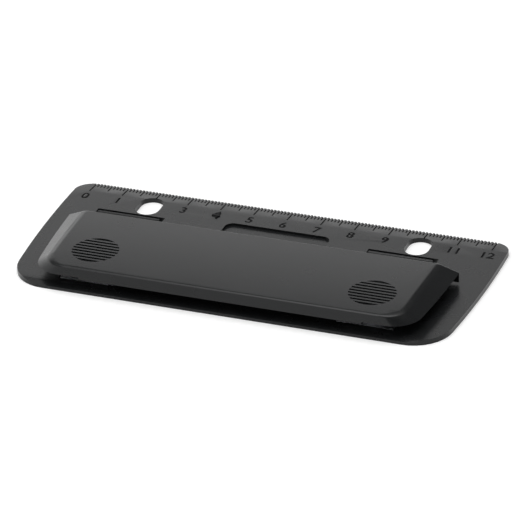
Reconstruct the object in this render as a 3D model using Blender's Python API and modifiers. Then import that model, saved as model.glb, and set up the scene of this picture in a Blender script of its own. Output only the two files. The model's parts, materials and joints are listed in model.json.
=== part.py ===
"""Pocket hole punch with a 12 cm ruler edge.

A flat moulded plate carries two folded steel brackets, 80 mm apart. A long moulded lever
hinges on two bars in the plate's slots and presses a short steel pin down through each
bracket. The front of the punch looks towards -Y, the ruler edge towards +Y, and the
underside lies on z = 0.
"""

import math

import bmesh
import bpy
from mathutils import Matrix, Vector

# Plate
PLATE_THICKNESS = 0.0015
SIDE_BOW_RADIUS = 0.353
WIDEST_ROW = 0.0125
REAR_CORNER_RADIUS = 0.0055
FRONT_CORNER_RADIUS = 0.011
RULER_BEVEL_DEPTH = 0.0056
RULER_BEVEL_DROP = 0.0005
LEAD_IN_DEPTH = 0.0022
LEAD_IN_DROP = 0.0006

# Holes for the binder's rings and for the chips
HOLE_SPACING = 0.080
FILING_SLOT_WIDTH = 0.00685
FILING_SLOT_LENGTH = 0.0102
FILING_SLOT_MARGIN = 0.0042
CHIP_HOLE_RADIUS = 0.0034

# Shallow recess in the middle of the plate, from behind the lever's rear wall
RECESS_LENGTH = 0.0309
RECESS_BREADTH = 0.0123
RECESS_DEPTH = 0.0007
RECESS_MARGIN = 0.0016
RECESS_CORNER_RADIUS = 0.0024

# Hinge slots, with a notch at the right end of each where the bar goes in
HINGE_SLOT_SPREAD = 0.0008
HINGE_SLOT_SHIFT = -0.0029
HINGE_SLOT_LENGTH = 0.0203
HINGE_SLOT_LAND = 0.0003
HINGE_SLOT_WIDTH = 0.0045
HINGE_NOTCH_LENGTH = 0.0014
HINGE_BAR_CLEARANCE = 0.0001
HINGE_NECK_THICKNESS = 0.0007
HINGE_RISER_THICKNESS = 0.0009
HINGE_SHOULDER_DROP = 0.00055
HINGE_STUB_RADIUS = 0.00035
HINGE_STUB_LENGTH = 0.0012
HINGE_STUB_CLEARANCE = 0.0001

# Punching
PAPER_MARGIN = 0.0120
PAPER_GAP = 0.0012
PUNCH_SETBACK = 0.01125
PUNCH_RADIUS = 0.00275
PUNCH_FLANGE_RADIUS = 0.0040
PUNCH_FLANGE_THICKNESS = 0.0005
PUNCH_TIP_NOTCH = 0.0004
PUNCH_TIP_RECESS = 0.0001
PUNCH_CLEARANCE = 0.00015

# Folded steel brackets
STEEL_THICKNESS = 0.0006
BRACKET_WIDTH = 0.0160
BRACKET_REACH = 0.00675
LIP_LENGTH = 0.0016
LIP_RISE = 0.0005

# Flush rivets that hold the brackets in their pockets
RIVET_SHANK_RADIUS = 0.0008
RIVET_HEAD_RADIUS = 0.0014
RIVET_HEAD_DEPTH = 0.0003
RIVET_SETBACK = 0.0001
RIVET_CLEARANCE = 0.00015
RIVET_MARGIN = 0.0028
RIVET_STOP_DISTANCE = 0.00405
RIVET_ACCESS_RADIUS = 0.0019

# Conical return springs
SPRING_WIRE_RADIUS = 0.000175
SPRING_FOOT_RADIUS = 0.0044
SPRING_TOP_RADIUS = 0.00325
SPRING_TURNS = 3.2
SPRING_GAP = 0.00015

# Lever
LEVER_TOP = 0.0078
LEVER_ROOF = 0.0013
LEVER_WALL = 0.0012
LEVER_SIDE_INSET = 0.00715
LEVER_END_SLOPE = 0.0043
LEVER_ARM_REACH = 0.0109
LEVER_STOP_DISTANCE = 0.01055
LEVER_FRONT_SETBACK = 0.0002
LEVER_FRONT_CORNER_RADIUS = 0.0080
LEVER_REAR_CORNER_RADIUS = 0.0009
LEVER_INNER_CORNER_RADIUS = 0.0003
BROW_HEIGHT = 0.0006
BROW_REAR_DRAFT = 0.0013
BROW_FRONT_DRAFT = 0.0002
BROW_CORNER_RADIUS = 0.0062
CROWN_REAR_ROUND = 0.0006
CROWN_FRONT_ROUND = 0.0009
CROWN_END_ROUND = 0.0019
RIM_GAP = 0.00335
SKIRT_GAP = 0.0028
SKIRT_OVERLAP = 0.0006
REAR_WALL_LIFT = 0.0008
PRESS_RIB_LENGTH = 0.0050
PRESS_RIB_WIDTH = 0.0012
PRESS_RIB_HEIGHT = 0.0003
PRESS_GAP = 0.00015
STIFFENER_COUNT = 5
STIFFENER_PITCH = 0.0110
STIFFENER_WIDTH = 0.0010
STIFFENER_HEIGHT = 0.0007

# Round ribbed grips on the lever, dished, over the pins
GRIP_RADIUS = 0.00655
GRIP_MARGIN = 0.00665
GRIP_EDGE_DEPTH = 0.0003
GRIP_DEPTH = 0.0007
GRIP_RIB_COUNT = 8
GRIP_RIB_WIDTH = 0.0007

# Clearances and cutting
SEAT_GAP = 0.0003
FLOOR_GAP = 0.0002
OVERRUN = 0.0020

# Sampling
CORNER_STEPS = 8
SIDE_STEPS = 10
ROUND_STEPS = 32
BROW_STEPS = 3
DISH_STEPS = 3
COIL_STEPS = 14

# Half lengths, from a punched hole out to the end of the plate
HOLE_X = HOLE_SPACING / 2
BROW_HALF_LENGTH = HOLE_X + GRIP_RADIUS + GRIP_MARGIN
LEVER_HALF_LENGTH = BROW_HALF_LENGTH + LEVER_END_SLOPE
PLATE_HALF_LENGTH = LEVER_HALF_LENGTH + LEVER_SIDE_INSET
SKIRT_HALF_LENGTH = HOLE_X + SKIRT_OVERLAP
RIVET_SPACING = BRACKET_WIDTH - 2 * RIVET_MARGIN

# Rows, each a distance in front of the ruler edge
FILING_SLOT_ROW = FILING_SLOT_MARGIN + FILING_SLOT_LENGTH / 2
HINGE_SLOT_ROW = FILING_SLOT_MARGIN + FILING_SLOT_LENGTH + HINGE_SLOT_LAND
HINGE_BAR_RADIUS = PLATE_THICKNESS / 2 - HINGE_BAR_CLEARANCE
HINGE_ROW = HINGE_SLOT_ROW + SEAT_GAP + HINGE_BAR_RADIUS
LEVER_REAR_ROW = HINGE_SLOT_ROW + LEVER_ARM_REACH
RECESS_FRONT_ROW = LEVER_REAR_ROW - RECESS_MARGIN
RECESS_REAR_ROW = RECESS_FRONT_ROW - RECESS_BREADTH
PAPER_STOP_ROW = LEVER_REAR_ROW + LEVER_STOP_DISTANCE
RIVET_ROW = PAPER_STOP_ROW + RIVET_STOP_DISTANCE
PUNCH_ROW = PAPER_STOP_ROW + PAPER_MARGIN
PLATE_DEPTH = PUNCH_ROW + PUNCH_SETBACK
REAR_EDGE = PLATE_DEPTH / 2
FRONT_EDGE = -PLATE_DEPTH / 2

# Levels above the table
BRACKET_FLOOR = PLATE_THICKNESS - STEEL_THICKNESS
POCKET_FLOOR = BRACKET_FLOOR - FLOOR_GAP
GUIDE_UNDERSIDE = PLATE_THICKNESS + PAPER_GAP
GUIDE_TOP = GUIDE_UNDERSIDE + STEEL_THICKNESS
LEVER_CEILING = LEVER_TOP - LEVER_ROOF
PUNCH_TIP = GUIDE_UNDERSIDE + PUNCH_TIP_RECESS
PUNCH_TOP = LEVER_CEILING - PRESS_RIB_HEIGHT - PRESS_GAP
FLANGE_UNDERSIDE = PUNCH_TOP - PUNCH_FLANGE_THICKNESS
HINGE_LEVEL = PLATE_THICKNESS / 2
REAR_WALL_FOOT = PLATE_THICKNESS + REAR_WALL_LIFT
BROW_LEVEL = LEVER_TOP - BROW_HEIGHT
RIM_LEVEL = PLATE_THICKNESS + RIM_GAP
SKIRT_LEVEL = PLATE_THICKNESS + SKIRT_GAP

SIDES = (("left", -1), ("right", 1))
RIVET_PLACES = (("outer", 1), ("inner", -1))


def row(distance):
    """The y of a line at this distance in front of the ruler edge."""
    return REAR_EDGE - distance


PUNCH_Y = row(PUNCH_ROW)
HINGE_Y = row(HINGE_ROW)


def clear_scene():
    for item in list(bpy.data.objects):
        bpy.data.objects.remove(item, do_unlink=True)


def make_collection(name):
    collection = bpy.data.collections.new(name)
    bpy.context.scene.collection.children.link(collection)
    return collection


def make_material(name, colour, roughness, metallic):
    material = bpy.data.materials.new(name)
    material.use_nodes = True
    shader = material.node_tree.nodes["Principled BSDF"]
    shader.inputs["Base Color"].default_value = (*colour, 1)
    shader.inputs["Roughness"].default_value = roughness
    shader.inputs["Metallic"].default_value = metallic
    return material


def link_mesh(name, mesh, collection):
    item = bpy.data.objects.new(name, mesh)
    collection.objects.link(item)
    return item


def as_cutter(item):
    item.hide_render = True
    item.display_type = "WIRE"
    return item


def finish(item, material):
    """Gives the piece its material and shades its round faces smooth."""
    item.data.materials.clear()
    item.data.materials.append(material)
    item.data.shade_smooth()
    item.data.set_sharp_from_angle(angle=math.radians(30))


def flat_piece(name, outline, thickness, collection, matrix=None):
    """A closed outline, thickened upwards from its own plane and then placed."""
    curve = bpy.data.curves.new(name, "CURVE")
    curve.dimensions = "2D"
    curve.fill_mode = "BOTH"
    curve.extrude = thickness / 2
    spline = curve.splines.new("POLY")
    spline.points.add(len(outline) - 1)
    for point, (x, y) in zip(spline.points, outline):
        point.co = (x, y, 0, 1)
    spline.use_cyclic_u = True
    drawn = bpy.data.objects.new(name + "_curve", curve)
    collection.objects.link(drawn)
    drawn.location.z = thickness / 2
    if matrix is not None:
        drawn.matrix_world = matrix @ Matrix.Translation((0, 0, thickness / 2))
    return curve_to_mesh(name, drawn, collection)


def curve_to_mesh(name, drawn, collection):
    bpy.context.view_layer.update()
    evaluated = drawn.evaluated_get(bpy.context.evaluated_depsgraph_get())
    mesh = bpy.data.meshes.new_from_object(evaluated)
    mesh.transform(drawn.matrix_world)
    work = bmesh.new()
    work.from_mesh(mesh)
    bmesh.ops.remove_doubles(work, verts=work.verts, dist=SPRING_WIRE_RADIUS / 100)
    bmesh.ops.recalc_face_normals(work, faces=work.faces)
    work.to_mesh(mesh)
    work.free()
    bpy.data.objects.remove(drawn, do_unlink=True)
    mesh.name = name
    return link_mesh(name, mesh, collection)


def box(name, low, high, collection):
    """A box between two corners."""
    low = Vector(low)
    high = Vector(high)
    work = bmesh.new()
    bmesh.ops.create_cube(work, size=1)
    bmesh.ops.scale(work, vec=high - low, verts=work.verts)
    bmesh.ops.translate(work, vec=(low + high) / 2, verts=work.verts)
    mesh = bpy.data.meshes.new(name)
    work.to_mesh(mesh)
    work.free()
    return link_mesh(name, mesh, collection)


def cylinder(name, radius, low, high, centre, collection):
    """An upright cylinder between two levels."""
    work = bmesh.new()
    bmesh.ops.create_cone(work, cap_ends=True, segments=ROUND_STEPS, radius1=radius, radius2=radius,
                          depth=high - low)
    bmesh.ops.translate(work, vec=(centre[0], centre[1], (low + high) / 2), verts=work.verts)
    mesh = bpy.data.meshes.new(name)
    work.to_mesh(mesh)
    work.free()
    return link_mesh(name, mesh, collection)


def turned(name, profile, origin, collection):
    """A profile of (radius, level), drawn from top to bottom and turned about an upright axis."""
    mesh = bpy.data.meshes.new(name)
    edges = [(index, index + 1) for index in range(len(profile) - 1)]
    mesh.from_pydata([(radius, 0, level - origin[2]) for radius, level in profile], edges, [])
    item = link_mesh(name, mesh, collection)
    item.location = origin
    turn = item.modifiers.new("turn", "SCREW")
    turn.axis = "Z"
    turn.steps = ROUND_STEPS
    turn.render_steps = ROUND_STEPS
    turn.use_merge_vertices = True
    turn.merge_threshold = SPRING_WIRE_RADIUS / 10
    return item


def combine(target, tools, operation):
    """Joins the tools to the target or cuts them from it, all in one step."""
    group = bpy.data.collections.new(target.name + "_tools")
    for tool in tools:
        group.objects.link(tool)
    modifier = target.modifiers.new(operation.lower(), "BOOLEAN")
    modifier.operation = operation
    modifier.solver = "EXACT"
    modifier.operand_type = "COLLECTION"
    modifier.collection = group
    apply_modifiers(target)
    bpy.data.collections.remove(group)
    for tool in tools:
        if operation == "UNION":
            bpy.data.objects.remove(tool, do_unlink=True)
        else:
            as_cutter(tool)


def apply_modifiers(target):
    bpy.context.view_layer.update()
    evaluated = target.evaluated_get(bpy.context.evaluated_depsgraph_get())
    mesh = bpy.data.meshes.new_from_object(evaluated)
    target.modifiers.clear()
    target.data = mesh


def arc(centre, radius, start, end, steps):
    """Points on an arc, both ends included."""
    points = []
    for index in range(steps + 1):
        angle = start + (end - start) * index / steps
        points.append((centre[0] + radius * math.cos(angle), centre[1] + radius * math.sin(angle)))
    return points


def bowed_outline(half_length, front, rear, front_radius, rear_radius, bow_radius):
    """An outline with straight front and rear edges, rounded corners and gently bowed ends."""
    centre_x = half_length - bow_radius
    centre_y = row(WIDEST_ROW)
    front_y = front + front_radius
    front_x = centre_x + math.sqrt((bow_radius - front_radius) ** 2 - (front_y - centre_y) ** 2)
    rear_y = rear - rear_radius
    rear_x = centre_x + math.sqrt((bow_radius - rear_radius) ** 2 - (rear_y - centre_y) ** 2)
    front_angle = math.atan2(front_y - centre_y, front_x - centre_x)
    rear_angle = math.atan2(rear_y - centre_y, rear_x - centre_x)
    right = arc((front_x, front_y), front_radius, -math.pi / 2, front_angle, CORNER_STEPS)
    right += arc((centre_x, centre_y), bow_radius, front_angle, rear_angle, SIDE_STEPS)[1:-1]
    right += arc((rear_x, rear_y), rear_radius, rear_angle, math.pi / 2, CORNER_STEPS)
    left = [(-x, y) for x, y in reversed(right)]
    return right + left


def stadium(centre, width, length, steps):
    """A slot with round ends, long in y."""
    radius = width / 2
    offset = (length - width) / 2
    points = arc((centre[0], centre[1] + offset), radius, 0, math.pi, steps)
    points += arc((centre[0], centre[1] - offset), radius, math.pi, 2 * math.pi, steps)
    return points


def rounded_box_outline(low, high, radius, steps):
    corners = (
        (high[0] - radius, low[1] + radius, -math.pi / 2),
        (high[0] - radius, high[1] - radius, 0),
        (low[0] + radius, high[1] - radius, math.pi / 2),
        (low[0] + radius, low[1] + radius, math.pi),
    )
    points = []
    for x, y, start in corners:
        points += arc((x, y), radius, start, start + math.pi / 2, steps)
    return points


def loft(name, sections, collection):
    """A closed skin through outlines of equal length, each with its level."""
    work = bmesh.new()
    loops = []
    for outline, level in sections:
        loops.append([work.verts.new((x, y, level)) for x, y in outline])
    for lower, upper in zip(loops, loops[1:]):
        count = len(lower)
        for index in range(count):
            after = (index + 1) % count
            work.faces.new((lower[index], lower[after], upper[after], upper[index]))
    work.faces.new(list(reversed(loops[0])))
    work.faces.new(loops[-1])
    mesh = bpy.data.meshes.new(name)
    work.to_mesh(mesh)
    work.free()
    return link_mesh(name, mesh, collection)


def across(start):
    """Turns a drawn (distance, level) section so that it runs along x from this start."""
    return Matrix(((0, 0, 1, start), (-1, 0, 0, REAR_EDGE), (0, -1, 0, 0), (0, 0, 0, 1)))


def cross_piece(name, section, start, length, collection):
    """A section drawn as (distance from the ruler edge, level) and run along x."""
    drawn = [(distance, -level) for distance, level in section]
    return flat_piece(name, drawn, length, collection, across(start))


def hinge_slot_start(side):
    """The x of the left end of a hinge slot."""
    return side * (HOLE_SPACING + HINGE_SLOT_SPREAD) / 2 + HINGE_SLOT_SHIFT - HINGE_SLOT_LENGTH / 2


def hinge_slot_cutter(side, name, cutters):
    start = hinge_slot_start(side)
    end = start + HINGE_SLOT_LENGTH
    low = (start, row(HINGE_SLOT_ROW + HINGE_SLOT_WIDTH), -OVERRUN)
    high = (end, row(HINGE_SLOT_ROW), PLATE_THICKNESS + OVERRUN)
    return box(name, low, high, cutters)


def hinge_stub(name, side, radius, length, clearance, collection):
    """The stub at the left end of a hinge bar, or its socket in the end of the slot."""
    slot_end = hinge_slot_start(side)
    profile = [
        (0, slot_end + SEAT_GAP + length),
        (radius + clearance, slot_end + SEAT_GAP + length),
        (radius + clearance, slot_end - length - clearance),
        (0, slot_end - length - clearance),
    ]
    stub = turned(name, profile, (0, 0, 0), collection)
    apply_modifiers(stub)
    stub.data.transform(Matrix(((0, 0, 1, 0), (1, 0, 0, HINGE_Y), (0, 1, 0, HINGE_LEVEL), (0, 0, 0, 1))))
    return stub


def plate_cutters(cutters):
    """Everything that is cut from the plate."""
    top = PLATE_THICKNESS + OVERRUN
    ends = 2 * (PLATE_HALF_LENGTH + OVERRUN)
    slope = RULER_BEVEL_DROP / RULER_BEVEL_DEPTH
    bevel = [
        (RULER_BEVEL_DEPTH, PLATE_THICKNESS),
        (-OVERRUN, PLATE_THICKNESS - RULER_BEVEL_DROP - slope * OVERRUN),
        (-OVERRUN, top),
        (RULER_BEVEL_DEPTH, top),
    ]
    slope = LEAD_IN_DROP / LEAD_IN_DEPTH
    lead_in = [
        (PLATE_DEPTH - LEAD_IN_DEPTH, PLATE_THICKNESS),
        (PLATE_DEPTH - LEAD_IN_DEPTH, top),
        (PLATE_DEPTH + OVERRUN, top),
        (PLATE_DEPTH + OVERRUN, PLATE_THICKNESS - LEAD_IN_DROP - slope * OVERRUN),
    ]
    found = [
        cross_piece("cut_ruler_bevel", bevel, -ends / 2, ends, cutters),
        cross_piece("cut_lead_in", lead_in, -ends / 2, ends, cutters),
    ]
    recess = rounded_box_outline(
        (-RECESS_LENGTH / 2, row(RECESS_FRONT_ROW)), (RECESS_LENGTH / 2, row(RECESS_REAR_ROW)),
        RECESS_CORNER_RADIUS, CORNER_STEPS)
    sunk = Matrix.Translation((0, 0, PLATE_THICKNESS - RECESS_DEPTH))
    found.append(flat_piece("cut_recess", recess, RECESS_DEPTH + OVERRUN, cutters, sunk))
    below = Matrix.Translation((0, 0, -OVERRUN))
    for name, side in SIDES:
        x = side * HOLE_X
        slot = stadium((x, row(FILING_SLOT_ROW)), FILING_SLOT_WIDTH, FILING_SLOT_LENGTH, ROUND_STEPS // 2)
        found.append(flat_piece("cut_filing_slot_" + name, slot, top + OVERRUN, cutters, below))
        found.append(hinge_slot_cutter(side, "cut_hinge_slot_" + name, cutters))
        found.append(hinge_stub("cut_hinge_socket_" + name, side, HINGE_STUB_RADIUS, HINGE_STUB_LENGTH,
                                HINGE_STUB_CLEARANCE, cutters))
        half = BRACKET_WIDTH / 2 + SEAT_GAP
        low = (x - half, row(PUNCH_ROW + BRACKET_REACH + SEAT_GAP), POCKET_FLOOR)
        high = (x + half, row(PAPER_STOP_ROW - STEEL_THICKNESS - SEAT_GAP), top)
        found.append(box("cut_bracket_pocket_" + name, low, high, cutters))
        hole = "cut_chip_hole_" + name
        found.append(cylinder(hole, CHIP_HOLE_RADIUS, -OVERRUN, top, (x, PUNCH_Y), cutters))
        found += rivet_hole_cutters(name, side, cutters)
    return found


def rivet_profile(spread):
    """A shank with a countersunk head at each end, or the hole round it when spread."""
    low = RIVET_SETBACK
    high = PLATE_THICKNESS - RIVET_SETBACK
    return [
        (RIVET_HEAD_RADIUS + spread, high),
        (RIVET_SHANK_RADIUS + spread, high - RIVET_HEAD_DEPTH),
        (RIVET_SHANK_RADIUS + spread, low + RIVET_HEAD_DEPTH),
        (RIVET_HEAD_RADIUS + spread, low),
    ]


def rivet_place(side, turn_side):
    return (side * HOLE_X + side * turn_side * RIVET_SPACING / 2, row(RIVET_ROW), 0)


def rivet_hole_cutters(name, side, cutters):
    """The rivet holes, open above for the tool that closes the rivet."""
    middle = PLATE_THICKNESS + PAPER_GAP / 2
    top = GUIDE_TOP + OVERRUN
    above = [
        (0, top),
        (RIVET_ACCESS_RADIUS, top),
        (RIVET_ACCESS_RADIUS, middle),
        (RIVET_HEAD_RADIUS + RIVET_CLEARANCE, middle),
    ]
    below = [(RIVET_HEAD_RADIUS + RIVET_CLEARANCE, -OVERRUN), (0, -OVERRUN)]
    profile = above + rivet_profile(RIVET_CLEARANCE) + below
    found = []
    for place, turn_side in RIVET_PLACES:
        found.append(turned(f"cut_rivet_{name}_{place}", profile, rivet_place(side, turn_side), cutters))
    return found


def build_base_plate(parts, cutters, material):
    """The moulded plate, with the ruler bevel, the slots and a pocket for each bracket."""
    outline = bowed_outline(PLATE_HALF_LENGTH, FRONT_EDGE, REAR_EDGE, FRONT_CORNER_RADIUS,
                            REAR_CORNER_RADIUS, SIDE_BOW_RADIUS)
    plate = flat_piece("base_plate", outline, PLATE_THICKNESS, parts)
    combine(plate, plate_cutters(cutters), "DIFFERENCE")
    finish(plate, material)


def bracket_section():
    """The folded sheet seen from its end: die leg, fold round the paper stop, guide leg with a lip."""
    inner = PAPER_GAP / 2
    outer = inner + STEEL_THICKNESS
    fold = (PAPER_STOP_ROW + inner, PLATE_THICKNESS + inner)
    front = PUNCH_ROW + BRACKET_REACH
    lip = front - LIP_LENGTH
    section = [(front, BRACKET_FLOOR), (front, PLATE_THICKNESS)]
    section += arc(fold, inner, -math.pi / 2, -3 * math.pi / 2, CORNER_STEPS)
    section += [
        (lip, GUIDE_UNDERSIDE),
        (front, GUIDE_UNDERSIDE + LIP_RISE),
        (front, GUIDE_TOP + LIP_RISE),
        (lip, GUIDE_TOP),
    ]
    section += arc(fold, outer, math.pi / 2, 3 * math.pi / 2, CORNER_STEPS)
    return section


def build_bracket(name, side, parts, cutters, material):
    x = side * HOLE_X
    start = x - BRACKET_WIDTH / 2
    bracket = cross_piece("punch_bracket_" + name, bracket_section(), start, BRACKET_WIDTH, parts)
    bore = PUNCH_RADIUS + PUNCH_CLEARANCE
    bore_cutter = cylinder("cut_bore_" + name, bore, 0, GUIDE_TOP + OVERRUN, (x, PUNCH_Y), cutters)
    combine(bracket, [bore_cutter] + rivet_hole_cutters(name + "_bracket", side, cutters), "DIFFERENCE")
    finish(bracket, material)


def build_rivets(name, side, parts, material):
    profile = rivet_profile(0)
    profile = [(0, profile[0][1])] + profile + [(0, profile[-1][1])]
    for place, turn_side in RIVET_PLACES:
        rivet = turned(f"bracket_rivet_{name}_{place}", profile, rivet_place(side, turn_side), parts)
        apply_modifiers(rivet)
        finish(rivet, material)


def build_punch(name, side, parts, cutters, material):
    """A turned pin with a flange for the spring and a V ground across its cutting end."""
    x = side * HOLE_X
    ease = PUNCH_FLANGE_THICKNESS / 4
    profile = [
        (0, PUNCH_TOP),
        (PUNCH_FLANGE_RADIUS - ease, PUNCH_TOP),
        (PUNCH_FLANGE_RADIUS, PUNCH_TOP - ease),
        (PUNCH_FLANGE_RADIUS, FLANGE_UNDERSIDE),
        (PUNCH_RADIUS, FLANGE_UNDERSIDE),
        (PUNCH_RADIUS, PUNCH_TIP),
        (0, PUNCH_TIP),
    ]
    punch = turned("punch_" + name, profile, (x, PUNCH_Y, PUNCH_TOP), parts)
    notch = [
        (PUNCH_ROW, PUNCH_TIP + PUNCH_TIP_NOTCH),
        (PUNCH_ROW + PUNCH_RADIUS, PUNCH_TIP),
        (PUNCH_ROW + PUNCH_RADIUS + OVERRUN, PUNCH_TIP - OVERRUN),
        (PUNCH_ROW - PUNCH_RADIUS - OVERRUN, PUNCH_TIP - OVERRUN),
        (PUNCH_ROW - PUNCH_RADIUS, PUNCH_TIP),
    ]
    cutter = cross_piece("cut_tip_" + name, notch, x - PUNCH_FLANGE_RADIUS, 2 * PUNCH_FLANGE_RADIUS, cutters)
    combine(punch, [cutter], "DIFFERENCE")
    finish(punch, material)


def build_spring(name, side, parts, material):
    """A cone of round wire whose coils nest when the pin goes down."""
    foot = GUIDE_TOP + SPRING_GAP + SPRING_WIRE_RADIUS
    head = FLANGE_UNDERSIDE - SPRING_GAP - SPRING_WIRE_RADIUS
    count = round(SPRING_TURNS * COIL_STEPS)
    curve = bpy.data.curves.new("spring_path_" + name, "CURVE")
    curve.dimensions = "3D"
    curve.bevel_depth = SPRING_WIRE_RADIUS
    curve.bevel_resolution = 2
    curve.use_fill_caps = True
    spline = curve.splines.new("POLY")
    spline.points.add(count)
    for index, point in enumerate(spline.points):
        share = index / count
        angle = 2 * math.pi * SPRING_TURNS * share
        radius = SPRING_FOOT_RADIUS + (SPRING_TOP_RADIUS - SPRING_FOOT_RADIUS) * share
        level = foot + (head - foot) * share
        point.co = (radius * math.cos(angle), radius * math.sin(angle), level, 1)
    drawn = bpy.data.objects.new("spring_path_" + name, curve)
    parts.objects.link(drawn)
    drawn.location = (side * HOLE_X, PUNCH_Y, 0)
    spring = curve_to_mesh("return_spring_" + name, drawn, parts)
    finish(spring, material)


def lever_plans():
    """Half length, front, rear, corner radii and bow of the lever's plan, level by level.

    The foot and the brow are on the side walls, the crown is the edge of the flat top, and the
    walls produced upwards meet the top's level between the two.
    """
    front = FRONT_EDGE + LEVER_FRONT_SETBACK
    rear = row(LEVER_REAR_ROW)
    foot = (LEVER_HALF_LENGTH, front, rear, LEVER_FRONT_CORNER_RADIUS, LEVER_REAR_CORNER_RADIUS,
            SIDE_BOW_RADIUS - LEVER_SIDE_INSET)
    front += BROW_FRONT_DRAFT
    rear -= BROW_REAR_DRAFT
    brow = (BROW_HALF_LENGTH, front, rear, BROW_CORNER_RADIUS, LEVER_REAR_CORNER_RADIUS,
            2 * SIDE_BOW_RADIUS)
    rise = BROW_HEIGHT / (BROW_LEVEL - RIM_LEVEL)
    meet = tuple(b + (b - f) * rise for f, b in zip(foot, brow))
    crown = (BROW_HALF_LENGTH - CROWN_END_ROUND, front + CROWN_FRONT_ROUND, rear - CROWN_REAR_ROUND,
             BROW_CORNER_RADIUS, LEVER_REAR_CORNER_RADIUS, 2 * SIDE_BOW_RADIUS)
    return foot, brow, meet, crown


def lever_skin(name, inset, drop, collection):
    """The lever's outer form, or the hollow inside it when inset and dropped."""
    foot, brow, meet, crown = lever_plans()
    sections = [(foot, REAR_WALL_FOOT - drop), (foot, RIM_LEVEL - drop)]
    for index in range(BROW_STEPS + 1):
        share = index / BROW_STEPS
        weights = ((1 - share) ** 2, 2 * share * (1 - share), share ** 2)
        plan = tuple(sum(w * v for w, v in zip(weights, values)) for values in zip(brow, meet, crown))
        level = BROW_LEVEL + BROW_HEIGHT * (weights[1] + weights[2])
        sections.append((plan, level - drop))
    drawn = []
    for plan, level in sections:
        half_length, front, rear, front_radius, rear_radius, bow_radius = plan
        rear_radius = max(rear_radius - inset, LEVER_INNER_CORNER_RADIUS)
        outline = bowed_outline(half_length - inset, front + inset, rear - inset, front_radius - inset,
                                rear_radius, bow_radius - inset)
        drawn.append((outline, level))
    return loft(name, drawn, collection)


def lever_openings(cutters):
    """What is taken away below the lever's rim and below its front skirt."""
    inner = row(LEVER_REAR_ROW + LEVER_WALL)
    front = FRONT_EDGE - OVERRUN
    ends = PLATE_HALF_LENGTH
    found = [box("cut_below_skirt", (-ends, front, 0), (ends, inner, SKIRT_LEVEL), cutters)]
    for name, side in SIDES:
        near = side * SKIRT_HALF_LENGTH
        far = side * ends
        low = (min(near, far), front, 0)
        high = (max(near, far), inner, RIM_LEVEL)
        found.append(box("cut_below_rim_" + name, low, high, cutters))
    return found


def grip_cutter(name, side, cutters):
    """A shallow dish less the ribs that stay standing across it."""
    x = side * HOLE_X
    fall = GRIP_DEPTH - GRIP_EDGE_DEPTH
    profile = [(0, LEVER_TOP + OVERRUN), (GRIP_RADIUS, LEVER_TOP + OVERRUN)]
    for index in range(DISH_STEPS + 1):
        share = index / DISH_STEPS
        level = LEVER_TOP - GRIP_EDGE_DEPTH - fall * (1 - (1 - share) ** 2)
        profile.append((GRIP_RADIUS * (1 - share), level))
    dish = turned("cut_grip_" + name, profile, (x, PUNCH_Y, 0), cutters)
    apply_modifiers(dish)
    pitch = 2 * GRIP_RADIUS / (GRIP_RIB_COUNT + 1)
    half = GRIP_RADIUS + OVERRUN
    ribs = []
    for index in range(GRIP_RIB_COUNT):
        middle = PUNCH_Y + (index - (GRIP_RIB_COUNT - 1) / 2) * pitch
        low = (x - half, middle - GRIP_RIB_WIDTH / 2, LEVER_TOP - 2 * GRIP_DEPTH)
        high = (x + half, middle + GRIP_RIB_WIDTH / 2, LEVER_TOP + 2 * OVERRUN)
        ribs.append(box(f"cut_rib_{name}_{index}", low, high, cutters))
    combine(dish, ribs, "DIFFERENCE")
    return as_cutter(dish)


def hinge_section():
    """The bar, a neck low in the slot, a riser at the slot's front and an arm to the rear wall."""
    bar = HINGE_BAR_RADIUS
    neck = HINGE_NECK_THICKNESS
    lean = math.radians(57)
    low = HINGE_LEVEL - bar * math.sin(lean)
    top_lean = math.asin((low + neck - HINGE_LEVEL) / bar)
    section = arc((HINGE_ROW, HINGE_LEVEL), bar, top_lean, 2 * math.pi - lean, ROUND_STEPS // 2)
    riser = HINGE_SLOT_ROW + HINGE_SLOT_WIDTH - SEAT_GAP
    riser_back = riser - HINGE_RISER_THICKNESS
    wall = LEVER_REAR_ROW + LEVER_WALL / 2
    climb = PLATE_THICKNESS + SEAT_GAP
    section += [
        (riser - neck / 2, low),
        (riser, low + neck / 2),
        (riser, climb),
        (wall, REAR_WALL_FOOT),
        (wall, REAR_WALL_FOOT + neck),
        (riser, climb + neck),
        (riser_back, climb + neck - HINGE_SHOULDER_DROP),
        (riser_back, low + neck),
    ]
    return section


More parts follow.
